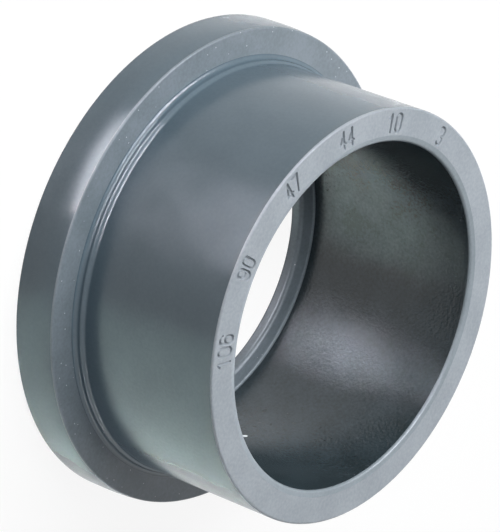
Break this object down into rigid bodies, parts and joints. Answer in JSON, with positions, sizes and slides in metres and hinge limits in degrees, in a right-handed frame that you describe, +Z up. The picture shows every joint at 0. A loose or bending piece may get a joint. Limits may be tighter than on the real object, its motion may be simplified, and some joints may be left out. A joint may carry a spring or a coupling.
{
  "type": "lap joint stub end",
  "caption": "Moulded stub end for a lap joint: a plain glue socket on a filleted, stepped neck, and a collar with a serrated sealing face that carries a loose backing ring.",
  "frame": {"origin": "centre of the sealing face, on the plane that the collar stands on", "axes": "+Z runs up the bore from the sealing face to the socket's mouth; the part is turned, so X and Y are any two square directions across it"},
  "size_m": [0.106, 0.106, 0.047],
  "materials": {
    "moulded_pvc": "moulded grey PVC-U, satin, smoother on the outside than on the rim of the mouth"
  },
  "bodies": {
    "root": {"stub_end": "moulded_pvc"}
  },
  "joints": []
}
